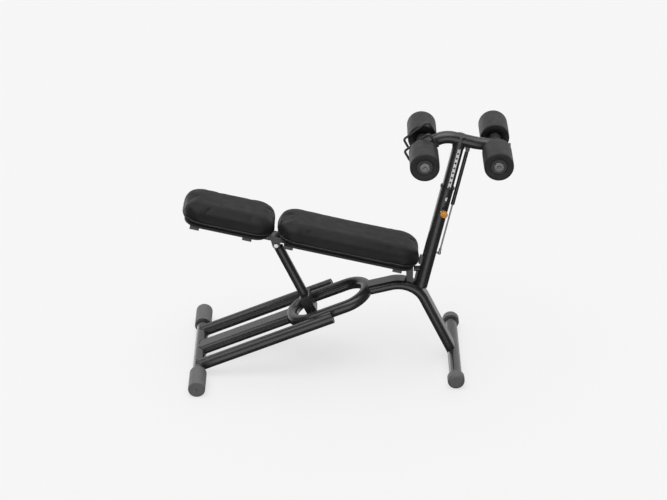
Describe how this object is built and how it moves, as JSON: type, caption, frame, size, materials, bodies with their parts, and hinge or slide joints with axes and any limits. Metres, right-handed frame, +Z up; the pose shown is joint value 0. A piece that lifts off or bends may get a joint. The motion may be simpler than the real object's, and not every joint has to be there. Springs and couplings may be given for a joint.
{
  "type": "roman chair",
  "caption": "Adjustable roman chair and crunch bench: hinged padded bench on a tube frame with a propping strut and a leaning height-adjustable column of foam leg rollers.",
  "frame": {"origin": "floor level, in the middle of the bench's length and width", "axes": "+X towards the leg rollers, +Y to the user's left, +Z up"},
  "size_m": [1.5105, 0.76, 1.2021],
  "materials": {
    "frame_paint": "satin dark graphite powder coat",
    "foot_rubber": "matte moulded rubber",
    "black_plastic": "fine matte moulded plastic",
    "steel": "zinc-plated steel",
    "polished": "polished rod",
    "gas_paint": "semi-gloss black",
    "scale_white": "white strip",
    "knob_plastic": "orange-yellow knob",
    "board_wood": "plywood stained black",
    "pad_leather": "black leatherette, fine grain",
    "roller_foam": "black closed-cell foam"
  },
  "bodies": {
    "frame": {"rear_foot_bar": "frame_paint", "rear_sleeves": "foot_rubber", "front_foot_bar": "frame_paint", "front_caps": "foot_rubber", "track_loop": "frame_paint", "rail_left": "frame_paint", "rail_right": "frame_paint", "rail_plugs": "black_plastic", "centre_beam": "frame_paint", "arch_beam": "frame_paint", "column_tube": "frame_paint", "column_cap": "black_plastic", "guide_bush": "black_plastic", "column_gusset": "frame_paint", "bumper": "foot_rubber", "gas_stud": "polished", "gas_rod": "polished", "plunger_housing": "steel", "pivot_bracket": "frame_paint", "column_brace": "frame_paint", "lock_sockets": "frame_paint", "pivot_bolt": "steel", "pivot_nut": "steel"},
    "bench": {"pad_beam": "frame_paint", "beam_plug": "black_plastic", "hinge_lug": "frame_paint", "strut_ears": "frame_paint", "strut_bolt": "steel", "strut_nut": "steel", "cross_plates": "frame_paint", "board_screws": "steel", "seat_board": "board_wood", "head_board": "board_wood", "seat_pad": "pad_leather", "head_pad": "pad_leather"},
    "strut": {"strut_eye": "frame_paint", "strut_tube": "frame_paint", "strut_foot": "frame_paint", "lock_shaft": "steel"},
    "head": {"curved_bar": "frame_paint", "hub_sleeves": "frame_paint", "roller_axles": "steel", "inner_tube": "frame_paint", "height_scale": "scale_white", "tube_glider": "black_plastic", "bar_collar": "frame_paint", "gas_cylinder": "gas_paint", "gas_bracket": "frame_paint", "grab_loop_left": "frame_paint", "grab_loop_right": "frame_paint"},
    "plunger": {"plunger_pin": "steel", "pull_knob": "knob_plastic"},
    "knee_roller_left": {"knee_core_left": "black_plastic", "knee_foam_left": "roller_foam"},
    "knee_roller_right": {"knee_core_right": "black_plastic", "knee_foam_right": "roller_foam"},
    "foot_roller_left": {"foot_core_left": "black_plastic", "foot_foam_left": "roller_foam"},
    "foot_roller_right": {"foot_core_right": "black_plastic", "foot_foam_right": "roller_foam"}
  },
  "joints": [
    {"name": "bench_tilt", "type": "hinge", "parent": "frame", "child": "bench", "pos_m": [0.29892, 0, 0.49552], "axis": [0, -1, 0], "range_deg": [0, 13.38]},
    {"name": "strut_swing", "type": "hinge", "parent": "bench", "child": "strut", "pos_m": [-0.323, 0, 0.6149], "axis": [0, -1, 0], "range_deg": [0, 32.6]},
    {"name": "head_height", "type": "slide", "parent": "frame", "child": "head", "axis": [0.2147, 0, 0.9767], "range_m": [-0.2, 0.05]},
    {"name": "plunger_pull", "type": "slide", "parent": "frame", "child": "plunger", "axis": [0.1696, -0.9848, -0.0373], "range_m": [0, 0.012], "stiffness_N_per_m": 900, "springref_m": -0.006},
    {"name": "knee_spin_left", "type": "hinge", "parent": "head", "child": "knee_roller_left", "pos_m": [0.3549, 0, 1.1125], "axis": [0, 1, 0], "continuous": true},
    {"name": "knee_spin_right", "type": "hinge", "parent": "head", "child": "knee_roller_right", "pos_m": [0.3549, 0, 1.1125], "axis": [0, 1, 0], "continuous": true},
    {"name": "foot_spin_left", "type": "hinge", "parent": "head", "child": "foot_roller_left", "pos_m": [0.688, 0, 1.1165], "axis": [0, 1, 0], "continuous": true},
    {"name": "foot_spin_right", "type": "hinge", "parent": "head", "child": "foot_roller_right", "pos_m": [0.688, 0, 1.1165], "axis": [0, 1, 0], "continuous": true}
  ],
  "couplings": [
    {"joint": "strut_swing", "follows": "bench_tilt", "ratio": 2.4357}
  ]
}
